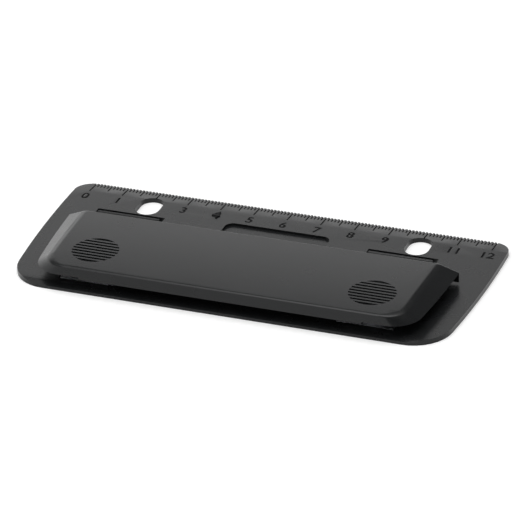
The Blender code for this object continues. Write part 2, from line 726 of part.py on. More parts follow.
def lever_additions(parts):
    """The hinge bars, the ribs that press the pins and the ribs that stiffen the roof."""
    found = []
    for name, side in SIDES:
        start = hinge_slot_start(side) + SEAT_GAP
        length = HINGE_SLOT_LENGTH - HINGE_NOTCH_LENGTH - SEAT_GAP
        found.append(cross_piece("hinge_bar_" + name, hinge_section(), start, length, parts))
        found.append(hinge_stub("hinge_stub_" + name, side, HINGE_STUB_RADIUS, HINGE_STUB_LENGTH, 0, parts))
        x = side * HOLE_X
        low = (x - PRESS_RIB_LENGTH / 2, PUNCH_Y - PRESS_RIB_WIDTH / 2, LEVER_CEILING - PRESS_RIB_HEIGHT)
        high = (x + PRESS_RIB_LENGTH / 2, PUNCH_Y + PRESS_RIB_WIDTH / 2, LEVER_CEILING + LEVER_ROOF / 2)
        found.append(box("press_rib_" + name, low, high, parts))
    front = FRONT_EDGE + LEVER_FRONT_SETBACK + LEVER_WALL
    rear = row(LEVER_REAR_ROW + BROW_REAR_DRAFT + LEVER_WALL)
    for index in range(STIFFENER_COUNT):
        x = (index - (STIFFENER_COUNT - 1) / 2) * STIFFENER_PITCH
        low = (x - STIFFENER_WIDTH / 2, front - LEVER_WALL / 4, LEVER_CEILING - STIFFENER_HEIGHT)
        high = (x + STIFFENER_WIDTH / 2, rear + LEVER_WALL / 4, LEVER_CEILING + LEVER_ROOF / 2)
        found.append(box(f"stiffener_{index}", low, high, parts))
    return found


def build_press_lever(parts, cutters, material):
    """The long moulded lever: a shell with sloping ends, a skirt, grips and hinge bars."""
    lever = lever_skin("press_lever", 0, 0, parts)
    hollow = lever_skin("cut_hollow", LEVER_WALL, LEVER_ROOF, cutters)
    combine(lever, [hollow] + lever_openings(cutters), "DIFFERENCE")
    combine(lever, lever_additions(parts), "UNION")
    grips = [grip_cutter(name, side, cutters) for name, side in SIDES]
    combine(lever, grips, "DIFFERENCE")
    pivot = Vector((0, HINGE_Y, HINGE_LEVEL))
    lever.data.transform(Matrix.Translation(-pivot))
    lever.location = pivot
    finish(lever, material)


def build():
    clear_scene()
    parts = make_collection("pocket_hole_punch")
    cutters = make_collection("cutters")
    plate_black = make_material("plate_black_plastic", (0.020, 0.021, 0.022), 0.48, 0)
    lever_black = make_material("lever_black_plastic", (0.017, 0.018, 0.019), 0.38, 0)
    bracket_steel = make_material("bracket_steel", (0.55, 0.56, 0.58), 0.32, 1)
    punch_steel = make_material("punch_steel", (0.62, 0.62, 0.63), 0.22, 1)
    spring_steel = make_material("spring_steel", (0.50, 0.50, 0.51), 0.30, 1)
    build_base_plate(parts, cutters, plate_black)
    build_press_lever(parts, cutters, lever_black)
    for name, side in SIDES:
        build_bracket(name, side, parts, cutters, bracket_steel)
        build_rivets(name, side, parts, punch_steel)
        build_punch(name, side, parts, cutters, punch_steel)
        build_spring(name, side, parts, spring_steel)
    bpy.context.view_layer.update()


build()
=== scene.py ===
import json
import math

import bmesh
import bpy
from mathutils import Matrix, Vector


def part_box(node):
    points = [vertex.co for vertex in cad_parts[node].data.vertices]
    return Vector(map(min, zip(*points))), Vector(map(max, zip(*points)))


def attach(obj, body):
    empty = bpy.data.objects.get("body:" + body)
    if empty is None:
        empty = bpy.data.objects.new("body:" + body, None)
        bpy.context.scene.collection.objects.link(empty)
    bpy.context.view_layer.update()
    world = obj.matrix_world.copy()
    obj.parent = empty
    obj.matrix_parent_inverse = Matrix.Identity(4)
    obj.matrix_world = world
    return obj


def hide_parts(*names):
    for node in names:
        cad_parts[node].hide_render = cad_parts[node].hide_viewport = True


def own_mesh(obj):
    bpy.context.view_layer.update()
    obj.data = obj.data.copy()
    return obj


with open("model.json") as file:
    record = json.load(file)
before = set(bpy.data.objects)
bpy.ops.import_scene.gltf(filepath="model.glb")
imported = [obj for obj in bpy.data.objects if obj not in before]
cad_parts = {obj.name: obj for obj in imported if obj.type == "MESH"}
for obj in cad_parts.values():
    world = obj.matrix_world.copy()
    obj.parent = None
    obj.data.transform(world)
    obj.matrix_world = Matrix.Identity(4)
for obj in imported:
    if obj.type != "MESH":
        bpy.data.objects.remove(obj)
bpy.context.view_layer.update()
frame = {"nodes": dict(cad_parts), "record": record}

nodes = frame["nodes"]
scene = bpy.context.scene
scene.view_settings.view_transform = "Standard"

# Base plate. A thin moulding in black polystyrene with a satin grain, cut away for the filing
# slots, the hinge slots and the brackets. Its edges leave the mould slightly rounded, and the
# mouths of the filing slots more so. The ruler's marks and numbers are sunk into it.
PLATE_EDGE_ROUND = 0.00016
SLOT_MOUTH_ROUND = 0.00050
SLOT_HALF_LENGTH = 0.0052
SHARP_EDGE_DEGREES = 35
SHARP_SHADE_DEGREES = 50
FLAT_DEGREES = 0.4
FLAT_FACE_WEIGHT = 100
BEVEL_STEPS = 3
MERGE_DISTANCE = 0.000001
PLATE_BLACK = (0.0085, 0.0090, 0.0095, 1)
PLATE_ROUGHNESS = 0.27
PLATE_GRAIN_SCALE = 2300
PLATE_GRAIN_HEIGHT = 0.000035
# Painted shade: the grooves of the marks and numbers get a darker black than the plate, standing in for
# the sheen they lose.
ENGRAVED_PAINTED_SHADE_BLACK = (0.004, 0.004, 0.0045, 1)
ENGRAVED_ROUGHNESS = 0.75
PLASTIC_IOR = 1.36
GRAIN_STRENGTH = 0.5
GRAIN_DETAIL = 3
GRAIN_BREAK_UP = 0.65
PATCH_SCALE = 70
PATCH_LIFT = 1.25
PATCH_ROUGHNESS_SWING = 0.025
NOISE_LOW = 0.3
NOISE_HIGH = 0.7


def own_copy(node, name):
    """The node's solid as one connected mesh, without the inner edges of its flat faces."""
    mesh = nodes[node].data.copy()
    work = bmesh.new()
    work.from_mesh(mesh)
    bmesh.ops.remove_doubles(work, verts=work.verts, dist=MERGE_DISTANCE)
    bmesh.ops.dissolve_limit(work, angle_limit=math.radians(FLAT_DEGREES), verts=work.verts,
                             edges=work.edges)
    work.to_mesh(mesh)
    work.free()
    mesh.name = name
    mesh.materials.clear()
    item = bpy.data.objects.new(name, mesh)
    scene.collection.objects.link(item)
    return item


def apply_modifiers(item):
    bpy.context.view_layer.update()
    evaluated = item.evaluated_get(bpy.context.evaluated_depsgraph_get())
    mesh = bpy.data.meshes.new_from_object(evaluated)
    item.modifiers.clear()
    item.data = mesh


def round_edges(item, width, wide_width, is_wide, segments=BEVEL_STEPS):
    """Rounds every sharp edge, and more widely the edges that is_wide picks."""
    work = bmesh.new()
    work.from_mesh(item.data)
    weight = work.edges.layers.float.new("bevel_weight_edge")
    for edge in work.edges:
        if len(edge.link_faces) == 2 and edge.calc_face_angle() > math.radians(SHARP_EDGE_DEGREES):
            edge[weight] = 1 if is_wide(edge) else width / wide_width
    work.to_mesh(item.data)
    work.free()
    bevel = item.modifiers.new("rounding", "BEVEL")
    bevel.width = wide_width
    bevel.segments = segments
    bevel.limit_method = "WEIGHT"
    bevel.use_clamp_overlap = True
    apply_modifiers(item)


def shade(item):
    """Smooth shading in which the flat faces stay flat and only the roundings turn."""
    item.data.shade_smooth()
    item.data.set_sharp_from_angle(angle=math.radians(SHARP_SHADE_DEGREES))
    weighted = item.modifiers.new("flat_faces", "WEIGHTED_NORMAL")
    weighted.keep_sharp = True
    weighted.weight = FLAT_FACE_WEIGHT
    apply_modifiers(item)


def add_socket(tree, name, kind, direction="INPUT"):
    return tree.interface.new_socket(name=name, in_out=direction, socket_type=kind)


def plastic_grain():
    """Fine moulded grain: a height for the bump, and a mask of slightly shinier patches."""
    tree = bpy.data.node_groups.new("plastic_grain", "ShaderNodeTree")
    add_socket(tree, "Scale", "NodeSocketFloat")
    add_socket(tree, "Height", "NodeSocketFloat", "OUTPUT")
    add_socket(tree, "Mask", "NodeSocketFloat", "OUTPUT")
    taken = tree.nodes.new("NodeGroupInput")
    given = tree.nodes.new("NodeGroupOutput")
    place = tree.nodes.new("ShaderNodeTexCoord")
    fine = tree.nodes.new("ShaderNodeTexNoise")
    fine.inputs["Detail"].default_value = GRAIN_DETAIL
    fine.inputs["Roughness"].default_value = GRAIN_BREAK_UP
    broad = tree.nodes.new("ShaderNodeTexNoise")
    broad.inputs["Scale"].default_value = PATCH_SCALE
    broad.inputs["Detail"].default_value = GRAIN_DETAIL
    tree.links.new(place.outputs["Object"], fine.inputs["Vector"])
    tree.links.new(taken.outputs["Scale"], fine.inputs["Scale"])
    tree.links.new(place.outputs["Object"], broad.inputs["Vector"])
    tree.links.new(fine.outputs["Fac"], given.inputs["Height"])
    tree.links.new(broad.outputs["Fac"], given.inputs["Mask"])
    return tree


def spread_mask(tree, mask, low, high):
    """Stretches a mask's middle range to run from low to high."""
    spread = tree.nodes.new("ShaderNodeMapRange")
    spread.inputs["From Min"].default_value = NOISE_LOW
    spread.inputs["From Max"].default_value = NOISE_HIGH
    spread.inputs["To Min"].default_value = low
    spread.inputs["To Max"].default_value = high
    tree.links.new(mask, spread.inputs["Value"])
    return spread.outputs["Result"]


def tinted(tree, mask, colour, lift):
    """The colour, a little lighter where the mask is high."""
    mix = tree.nodes.new("ShaderNodeMix")
    mix.data_type = "RGBA"
    mix.inputs["A"].default_value = colour
    mix.inputs["B"].default_value = tuple(min(1, part * lift) for part in colour[:3]) + (1,)
    tree.links.new(mask, mix.inputs["Factor"])
    return mix.outputs["Result"]


def black_plastic(name, colour, roughness, grain_scale, grain_height):
    material = bpy.data.materials.new(name)
    material.use_nodes = True
    tree = material.node_tree
    shader = tree.nodes["Principled BSDF"]
    shader.inputs["IOR"].default_value = PLASTIC_IOR
    grain = tree.nodes.new("ShaderNodeGroup")
    grain.node_tree = bpy.data.node_groups.get("plastic_grain") or plastic_grain()
    grain.inputs["Scale"].default_value = grain_scale
    patches = spread_mask(tree, grain.outputs["Mask"], 0, 1)
    tree.links.new(tinted(tree, patches, colour, PATCH_LIFT), shader.inputs["Base Color"])
    rough = spread_mask(tree, grain.outputs["Mask"], roughness - PATCH_ROUGHNESS_SWING,
                        roughness + PATCH_ROUGHNESS_SWING)
    tree.links.new(rough, shader.inputs["Roughness"])
    bump = tree.nodes.new("ShaderNodeBump")
    bump.inputs["Distance"].default_value = grain_height
    bump.inputs["Strength"].default_value = GRAIN_STRENGTH
    tree.links.new(grain.outputs["Height"], bump.inputs["Height"])
    tree.links.new(bump.outputs["Normal"], shader.inputs["Normal"])
    return material


def near_filing_slot(edge):
    """True for the upper edge round a filing slot."""
    middle = (edge.verts[0].co + edge.verts[1].co) / 2
    across = abs(abs(middle.x) - SLOT_X)
    along = abs(middle.y - SLOT_Y)
    return middle.z > plate_high.z / 2 and across < SLOT_HALF_LENGTH and along < SLOT_HALF_LENGTH


plate_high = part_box("base_plate")[1]
slot_box = {hollow["name"]: hollow["box_m"] for hollow in frame["record"]["physics"]["openings"]}
SLOT_X = (slot_box["filing_slot_right"][0][0] + slot_box["filing_slot_right"][1][0]) / 2
SLOT_Y = (slot_box["filing_slot_right"][0][1] + slot_box["filing_slot_right"][1][1]) / 2
plate = own_copy("base_plate", "plate_moulding")
plate_plastic = black_plastic("satin_black_plate", PLATE_BLACK, PLATE_ROUGHNESS, PLATE_GRAIN_SCALE,
                              PLATE_GRAIN_HEIGHT)
# The grooves' material is darker than the plate's black, which is painted shade inside the recesses.
engraved = black_plastic("engraved_painted_shade", ENGRAVED_PAINTED_SHADE_BLACK, ENGRAVED_ROUGHNESS, PLATE_GRAIN_SCALE,
                         PLATE_GRAIN_HEIGHT)
plate.data.materials.append(plate_plastic)
round_edges(plate, PLATE_EDGE_ROUND, SLOT_MOUTH_ROUND, near_filing_slot)

# Ruler marks. A groove for each millimetre, longer ones for the half and whole centimetres, all
# open at the plate's bevelled edge, with plain numbers in the middle of the plate's rear margin.
RULER_LENGTH = 0.120
CENTIMETRE = 0.010
MARK_PITCH = 0.001
MARKS_TO_HALF = 5
MARKS_TO_CENTIMETRE = 10
MARK_WIDTH = 0.00040
MARK_DEPTH = 0.00032
MARK_LENGTHS = {"Millimetre": 0.0025, "Half": 0.0042, "Centimetre": 0.0056}
RULER_SLOPE_DEPTH = 0.0056
RULER_SLOPE_DROP = 0.0005
NUMBER_HEIGHT = 0.0033
NUMBER_ROW = 0.0087
NUMBER_STROKE_GAIN = 0.022
NUMBER_CURVE_STEPS = 5
NUMBERS = (0, 1, 3, 4, 5, 6, 7, 8, 9, 11, 12)
TEXT_BLOCK_DEPTH = 0.2
TEXT_MERGE_DISTANCE = 0.0001


def join(tree, source, target):
    tree.links.new(source, target)


def calculate(tree, operation, first, second=0):
    """A math node whose inputs are sockets or numbers."""
    node = tree.nodes.new("ShaderNodeMath")
    node.operation = operation
    for socket, value in zip(node.inputs, (first, second)):
        if isinstance(value, (int, float)):
            socket.default_value = value
        else:
            join(tree, value, socket)
    return node.outputs[0]


def vector_of(tree, x, y, z):
    node = tree.nodes.new("ShaderNodeCombineXYZ")
    for socket, value in zip(node.inputs, (x, y, z)):
        if isinstance(value, (int, float)):
            socket.default_value = value
        else:
            join(tree, value, socket)
    return node.outputs[0]


def choose(tree, flag, when_false, when_true):
    node = tree.nodes.new("GeometryNodeSwitch")
    node.input_type = "FLOAT"
    join(tree, flag, node.inputs["Switch"])
    join(tree, when_false, node.inputs["False"])
    join(tree, when_true, node.inputs["True"])
    return node.outputs["Output"]


def every(tree, index, count):
    """True on every count-th mark, from the first."""
    rest = calculate(tree, "MODULO", index, count)
    return calculate(tree, "LESS_THAN", rest, 0.5)


def ruler_marks_tree():
    tree = bpy.data.node_groups.new("ruler_marks", "GeometryNodeTree")
    for name in ("Length", "Pitch", "Width", "Depth", "Millimetre", "Half", "Centimetre", "Edge Row",
                 "Top Level", "Slope Row", "Slope"):
        add_socket(tree, name, "NodeSocketFloat")
    add_socket(tree, "Material", "NodeSocketMaterial")
    add_socket(tree, "Geometry", "NodeSocketGeometry", "OUTPUT")
    taken = tree.nodes.new("NodeGroupInput").outputs
    given = tree.nodes.new("NodeGroupOutput")
    steps = calculate(tree, "ROUND", calculate(tree, "DIVIDE", taken["Length"], taken["Pitch"]))
    level = calculate(tree, "ADD", taken["Top Level"], taken["Depth"])
    line = tree.nodes.new("GeometryNodeMeshLine")
    join(tree, calculate(tree, "ADD", steps, 1), line.inputs["Count"])
    start = calculate(tree, "MULTIPLY", taken["Length"], -0.5)
    join(tree, vector_of(tree, start, taken["Edge Row"], level), line.inputs["Start Location"])
    join(tree, vector_of(tree, taken["Pitch"], 0, 0), line.inputs["Offset"])
    index = tree.nodes.new("GeometryNodeInputIndex").outputs["Index"]
    length = choose(tree, every(tree, index, MARKS_TO_HALF), taken["Millimetre"], taken["Half"])
    length = choose(tree, every(tree, index, MARKS_TO_CENTIMETRE), length, taken["Centimetre"])
    groove = tree.nodes.new("GeometryNodeMeshCube")
    groove.inputs["Size"].default_value = (1, 1, 1)
    place = tree.nodes.new("GeometryNodeInstanceOnPoints")
    join(tree, line.outputs["Mesh"], place.inputs["Points"])
    join(tree, groove.outputs["Mesh"], place.inputs["Instance"])
    size = vector_of(tree, taken["Width"], calculate(tree, "MULTIPLY", length, 2),
                     calculate(tree, "MULTIPLY", taken["Depth"], 4))
    join(tree, size, place.inputs["Scale"])
    real = tree.nodes.new("GeometryNodeRealizeInstances")
    join(tree, place.outputs["Instances"], real.inputs["Geometry"])
    split = tree.nodes.new("ShaderNodeSeparateXYZ")
    join(tree, tree.nodes.new("GeometryNodeInputPosition").outputs["Position"], split.inputs[0])
    beyond = calculate(tree, "SUBTRACT", split.outputs["Y"], taken["Slope Row"])
    beyond = calculate(tree, "MAXIMUM", beyond, 0)
    fall = calculate(tree, "MULTIPLY", calculate(tree, "MULTIPLY", beyond, taken["Slope"]), -1)
    lower = tree.nodes.new("GeometryNodeSetPosition")
    join(tree, real.outputs["Geometry"], lower.inputs["Geometry"])
    join(tree, vector_of(tree, 0, 0, fall), lower.inputs["Offset"])
    coat = tree.nodes.new("GeometryNodeSetMaterial")
    join(tree, lower.outputs["Geometry"], coat.inputs["Geometry"])
    join(tree, taken["Material"], coat.inputs["Material"])
    join(tree, coat.outputs["Geometry"], given.inputs["Geometry"])
    return tree


def grown(name, tree, values):
    """The plain mesh that a Geometry Nodes tree makes from these values."""
    item = bpy.data.objects.new(name, bpy.data.meshes.new(name + "_seed"))
    scene.collection.objects.link(item)
    modifier = item.modifiers.new(name, "NODES")
    modifier.node_group = tree
    for socket in tree.interface.items_tree:
        if socket.in_out == "INPUT" and socket.name in values:
            modifier[socket.identifier] = values[socket.name]
    apply_modifiers(item)
    return item


def number_cutter(number):
    """A plain number, its block standing through the plate's upper face."""
    text = bpy.data.curves.new(f"number_{number}", "FONT")
    text.body = str(number)
    text.size = 1
    text.offset = NUMBER_STROKE_GAIN
    text.extrude = TEXT_BLOCK_DEPTH
    text.resolution_u = NUMBER_CURVE_STEPS
    drawn = bpy.data.objects.new("number", text)
    scene.collection.objects.link(drawn)
    bpy.context.view_layer.update()
    mesh = bpy.data.meshes.new_from_object(drawn.evaluated_get(bpy.context.evaluated_depsgraph_get()))
    bpy.data.objects.remove(drawn, do_unlink=True)
    work = bmesh.new()
    work.from_mesh(mesh)
    bmesh.ops.remove_doubles(work, verts=work.verts, dist=TEXT_MERGE_DISTANCE)
    bmesh.ops.recalc_face_normals(work, faces=work.faces)
    work.to_mesh(mesh)
    work.free()
    low = Vector([min(vert.co[axis] for vert in mesh.vertices) for axis in range(3)])
    high = Vector([max(vert.co[axis] for vert in mesh.vertices) for axis in range(3)])
    grow = NUMBER_HEIGHT / (high.y - low.y)
    x = number * CENTIMETRE - RULER_LENGTH / 2
    for vert in mesh.vertices:
        vert.co.x = (vert.co.x - (low.x + high.x) / 2) * grow + x
        vert.co.y = (vert.co.y - (low.y + high.y) / 2) * grow + plate_high.y - NUMBER_ROW
        vert.co.z = plate_high.z + (MARK_DEPTH if vert.co.z > 0 else -MARK_DEPTH)
    mesh.materials.clear()
    mesh.materials.append(engraved)
    item = bpy.data.objects.new(f"number_{number}", mesh)
    scene.collection.objects.link(item)
    return item


def engrave(item, cutters):
    for cutter in cutters:
        modifier = item.modifiers.new(cutter.name, "BOOLEAN")
        modifier.operation = "DIFFERENCE"
        modifier.solver = "EXACT"
        modifier.material_mode = "TRANSFER"
        modifier.object = cutter
    apply_modifiers(item)
    for cutter in cutters:
        bpy.data.objects.remove(cutter, do_unlink=True)


mark_sizes = {"Length": RULER_LENGTH, "Pitch": MARK_PITCH, "Width": MARK_WIDTH, "Depth": MARK_DEPTH,
              "Edge Row": plate_high.y, "Top Level": plate_high.z,
              "Slope Row": plate_high.y - RULER_SLOPE_DEPTH,
              "Slope": RULER_SLOPE_DROP / RULER_SLOPE_DEPTH, "Material": engraved} | MARK_LENGTHS
marks = [grown("ruler_marks", ruler_marks_tree(), mark_sizes)]
marks += [number_cutter(number) for number in NUMBERS]
engrave(plate, marks)
shade(plate)
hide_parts("base_plate")
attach(plate, "base")

# Punch brackets. Each is one strip of plated steel sheet, folded round the paper stop, so that the
# die leg lies in the plate's pocket and the guide leg stands over the paper gap.
STEEL_EDGE_ROUND = 0.00006
STEEL_BEVEL_STEPS = 2
PLATED_STEEL = (0.56, 0.57, 0.59, 1)
SHEET_ROUGHNESS = 0.30
SHEET_STRETCH = (4200, 160, 4200)
SHEET_MARK_DEPTH = 0.000004
TOOL_MARK_DETAIL = 4
TOOL_MARK_STRENGTH = 0.4
TOOL_MARK_SMOOTHER = 0.05
TOOL_MARK_ROUGHER = 0.07
STAIN_SCALE = 180
STAIN_DETAIL = 3
STAIN_SHADE = 0.86


def metal_marks():
    """Fine tool lines: a noise stretched along one way, as a height and as a mask."""
    tree = bpy.data.node_groups.new("metal_marks", "ShaderNodeTree")
    add_socket(tree, "Stretch", "NodeSocketVector")
    add_socket(tree, "Height", "NodeSocketFloat", "OUTPUT")
    add_socket(tree, "Mask", "NodeSocketFloat", "OUTPUT")
    taken = tree.nodes.new("NodeGroupInput")
    given = tree.nodes.new("NodeGroupOutput")
    place = tree.nodes.new("ShaderNodeTexCoord")
    mapping = tree.nodes.new("ShaderNodeMapping")
    lines = tree.nodes.new("ShaderNodeTexNoise")
    lines.inputs["Scale"].default_value = 1
    lines.inputs["Detail"].default_value = TOOL_MARK_DETAIL
    stains = tree.nodes.new("ShaderNodeTexNoise")
    stains.inputs["Scale"].default_value = STAIN_SCALE
    stains.inputs["Detail"].default_value = STAIN_DETAIL
    join(tree, place.outputs["Object"], mapping.inputs["Vector"])
    join(tree, taken.outputs["Stretch"], mapping.inputs["Scale"])
    join(tree, mapping.outputs["Vector"], lines.inputs["Vector"])
    join(tree, place.outputs["Object"], stains.inputs["Vector"])
    join(tree, lines.outputs["Fac"], given.inputs["Height"])
    join(tree, stains.outputs["Fac"], given.inputs["Mask"])
    return tree


def steel(name, colour, roughness, stretch, depth):
    """Steel with tool lines that run across the largest stretch."""
    material = bpy.data.materials.new(name)
    material.use_nodes = True
    tree = material.node_tree
    shader = tree.nodes["Principled BSDF"]
    shader.inputs["Metallic"].default_value = 1
    finish = tree.nodes.new("ShaderNodeGroup")
    finish.node_tree = bpy.data.node_groups.get("metal_marks") or metal_marks()
    finish.inputs["Stretch"].default_value = stretch
    patches = spread_mask(tree, finish.outputs["Mask"], 0, 1)
    join(tree, tinted(tree, patches, colour, STAIN_SHADE), shader.inputs["Base Color"])
    rough = spread_mask(tree, finish.outputs["Height"], roughness - TOOL_MARK_SMOOTHER,
                        roughness + TOOL_MARK_ROUGHER)
    join(tree, rough, shader.inputs["Roughness"])
    bump = tree.nodes.new("ShaderNodeBump")
    bump.inputs["Distance"].default_value = depth
    bump.inputs["Strength"].default_value = TOOL_MARK_STRENGTH
    join(tree, finish.outputs["Height"], bump.inputs["Height"])
    join(tree, bump.outputs["Normal"], shader.inputs["Normal"])
    return material


def steel_piece(node, name, material, body):
    """The node's own form with its edges eased, in place of the node."""
    item = own_copy(node, name)
    item.data.materials.append(material)
    round_edges(item, STEEL_EDGE_ROUND, STEEL_EDGE_ROUND, lambda edge: True, STEEL_BEVEL_STEPS)
    shade(item)
    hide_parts(node)
    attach(item, body)
    return item


SIDES = ("left", "right")
plated_sheet = steel("plated_sheet", PLATED_STEEL, SHEET_ROUGHNESS, SHEET_STRETCH, SHEET_MARK_DEPTH)
for side in SIDES:
    steel_piece(f"punch_bracket_{side}", f"bracket_{side}", plated_sheet, "base")

# Bracket rivets. Short bright rivets hold each bracket in its pocket, two to a side, with both
# heads countersunk so that the paper and the table pass them.
RIVET_STEEL = (0.60, 0.60, 0.61, 1)
RIVET_ROUGHNESS = 0.34
RIVET_STRETCH = (900, 900, 900)
RIVET_MARK_DEPTH = 0.000006
rivet_metal = steel("rivet_steel", RIVET_STEEL, RIVET_ROUGHNESS, RIVET_STRETCH, RIVET_MARK_DEPTH)
for side in SIDES:
    for place in ("outer", "inner"):
        rivet = nodes[f"bracket_rivet_{side}_{place}"]
        for slot in rivet.material_slots:
            slot.material = rivet_metal

# Punches. Turned and hardened pins with a flange on top and a V ground across the cutting end.
GROUND_STEEL = (0.62, 0.62, 0.64, 1)
GROUND_ROUGHNESS = 0.20
GROUND_STRETCH = (120, 120, 9000)
GROUND_MARK_DEPTH = 0.000003
ground_steel = steel("ground_steel", GROUND_STEEL, GROUND_ROUGHNESS, GROUND_STRETCH, GROUND_MARK_DEPTH)
for side in SIDES:
    steel_piece(f"punch_{side}", f"pin_{side}", ground_steel, f"pin_{side}")

# Return springs. Each is a cone of drawn wire with flattened end turns, standing on the guide leg
# under the pin's flange, and it nests flat when the lever is down.
SPRING_TURNS = 3.2
SPRING_WIRE_RADIUS = 0.000175
SPRING_TOP_RADIUS = 0.00325
COIL_STEPS_PER_TURN = 48
WIRE_SIDES = 12
WIRE_STEEL = (0.52, 0.52, 0.54, 1)
WIRE_ROUGHNESS = 0.28
WIRE_STRETCH = (1500, 1500, 1500)
WIRE_MARK_DEPTH = 0.000003


def cone_spring_tree():
    tree = bpy.data.node_groups.new("cone_spring", "GeometryNodeTree")
    for name in ("Turns", "Foot Radius", "Top Radius", "Height", "Wire Radius"):
        add_socket(tree, name, "NodeSocketFloat")
    add_socket(tree, "Foot Centre", "NodeSocketVector")
    add_socket(tree, "Material", "NodeSocketMaterial")
    add_socket(tree, "Geometry", "NodeSocketGeometry", "OUTPUT")
    taken = tree.nodes.new("NodeGroupInput").outputs
    given = tree.nodes.new("NodeGroupOutput")
    coil = tree.nodes.new("GeometryNodeCurveSpiral")
    coil.inputs["Resolution"].default_value = COIL_STEPS_PER_TURN
    coil.inputs["Height"].default_value = 0
    join(tree, taken["Turns"], coil.inputs["Rotations"])
    join(tree, taken["Foot Radius"], coil.inputs["Start Radius"])
    join(tree, taken["Top Radius"], coil.inputs["End Radius"])
    climb = tree.nodes.new("ShaderNodeMapRange")
    climb.interpolation_type = "SMOOTHSTEP"
    share = tree.nodes.new("GeometryNodeSplineParameter").outputs["Factor"]
    join(tree, share, climb.inputs["Value"])
    rise = calculate(tree, "MULTIPLY", climb.outputs["Result"], taken["Height"])
    shift = tree.nodes.new("ShaderNodeVectorMath")
    join(tree, taken["Foot Centre"], shift.inputs[0])
    join(tree, vector_of(tree, 0, 0, rise), shift.inputs[1])
    lift = tree.nodes.new("GeometryNodeSetPosition")
    join(tree, coil.outputs["Curve"], lift.inputs["Geometry"])
    join(tree, shift.outputs["Vector"], lift.inputs["Offset"])
    wire = tree.nodes.new("GeometryNodeCurvePrimitiveCircle")
    wire.inputs["Resolution"].default_value = WIRE_SIDES
    join(tree, taken["Wire Radius"], wire.inputs["Radius"])
    skin = tree.nodes.new("GeometryNodeCurveToMesh")
    skin.inputs["Fill Caps"].default_value = True
    join(tree, lift.outputs["Geometry"], skin.inputs["Curve"])
    join(tree, wire.outputs["Curve"], skin.inputs["Profile Curve"])
    real = tree.nodes.new("GeometryNodeRealizeInstances")
    join(tree, skin.outputs["Mesh"], real.inputs["Geometry"])
    coat = tree.nodes.new("GeometryNodeSetMaterial")
    join(tree, real.outputs["Geometry"], coat.inputs["Geometry"])
    join(tree, taken["Material"], coat.inputs["Material"])
    join(tree, coat.outputs["Geometry"], given.inputs["Geometry"])
    return tree


spring_tree = cone_spring_tree()
drawn_wire = steel("drawn_wire", WIRE_STEEL, WIRE_ROUGHNESS, WIRE_STRETCH, WIRE_MARK_DEPTH)
for side in SIDES:
    spring_low, spring_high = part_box(f"return_spring_{side}")
    pin_low, pin_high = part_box(f"punch_{side}")
    centre = (pin_low + pin_high) / 2
    foot = Vector((centre.x, centre.y, spring_low.z + SPRING_WIRE_RADIUS))
    spring = grown(f"spring_{side}", spring_tree, {
        "Turns": SPRING_TURNS, "Wire Radius": SPRING_WIRE_RADIUS, "Top Radius": SPRING_TOP_RADIUS,
        "Foot Radius": spring_high.x - centre.x - SPRING_WIRE_RADIUS,
        "Height": spring_high.z - spring_low.z - 2 * SPRING_WIRE_RADIUS,
        "Foot Centre": tuple(foot), "Material": drawn_wire})
    shade(spring)
    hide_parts(f"return_spring_{side}")
    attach(spring, "base")
    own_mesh(spring)

# Press lever. A second moulding in the same black plastic, a little smoother, hooked under the
# plate at its two hinge bars. Its broad top is slightly crowned from rear to front, and the rim
# round its sloping ends is rolled over.
LEVER_EDGE_ROUND = 0.00018
LEVER_RIM_ROUND = 0.00045
LEVER_RIM_LEVEL = 0.00485
LEVER_CROWN_RADIUS = 0.62
LEVER_CROWN_CUTS = 16
LEVEL_TOLERANCE = 0.00002
FACES_DOWN = -0.9
FACES_OUT_AND_UP = 0.2
FACES_UP = 0.99
LEVER_BLACK = (0.0075, 0.0080, 0.0085, 1)
LEVER_ROUGHNESS = 0.25
LEVER_GRAIN_SCALE = 2600
LEVER_GRAIN_HEIGHT = 0.000015
lever_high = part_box("press_lever")[1]
lever_wall = LEVER_RIM_LEVEL + LEVER_RIM_ROUND


def on_outer_rim(edge):
    """True for the lower outer edge of the sloping ends."""
    middle = (edge.verts[0].co + edge.verts[1].co) / 2
    level = abs(middle.z - LEVER_RIM_LEVEL) < LEVEL_TOLERANCE
    lowest = min(face.normal.z for face in edge.link_faces)
    highest = max(face.normal.z for face in edge.link_faces)
    return level and lowest < FACES_DOWN and highest > FACES_OUT_AND_UP


def crown_top(item):
    """Cuts the top into cross strips and lowers them towards the front and the rear."""
    work = bmesh.new()
    work.from_mesh(item.data)
    rear = max(vert.co.y for vert in work.verts if vert.co.z > lever_wall)
    front = min(vert.co.y for vert in work.verts if vert.co.z > lever_wall)
    for index in range(1, LEVER_CROWN_CUTS):
        y = front + (rear - front) * index / LEVER_CROWN_CUTS
        upper = [face for face in work.faces if face.normal.z > FACES_UP]
        edges = list({edge for face in upper for edge in face.edges})
        verts = list({vert for face in upper for vert in face.verts})
        bmesh.ops.bisect_plane(work, geom=upper + edges + verts, plane_co=(0, y, 0), plane_no=(0, 1, 0),
                               dist=MERGE_DISTANCE)
    for vert in work.verts:
        share = min(1, max(0, (vert.co.z - lever_wall) / (lever_high.z - lever_wall)))
        offset = vert.co.y - (front + rear) / 2
        vert.co.z -= share * offset ** 2 / (2 * LEVER_CROWN_RADIUS)
    work.to_mesh(item.data)
    work.free()


lever = own_copy("press_lever", "lever_moulding")
lever.data.materials.append(black_plastic("satin_black_lever", LEVER_BLACK, LEVER_ROUGHNESS,
                                          LEVER_GRAIN_SCALE, LEVER_GRAIN_HEIGHT))
round_edges(lever, LEVER_EDGE_ROUND, LEVER_RIM_ROUND, on_outer_rim)
crown_top(lever)
shade(lever)
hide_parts("press_lever")
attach(lever, "lever")

# Floor. A wide pale sheet that takes the soft shadow of the punch and reads as white.
FLOOR_HALF = 3.0
FLOOR_WHITE = (0.86, 0.86, 0.86, 1)
FLOOR_LIFT = 0.20
FLOOR_ROUGHNESS = 0.9


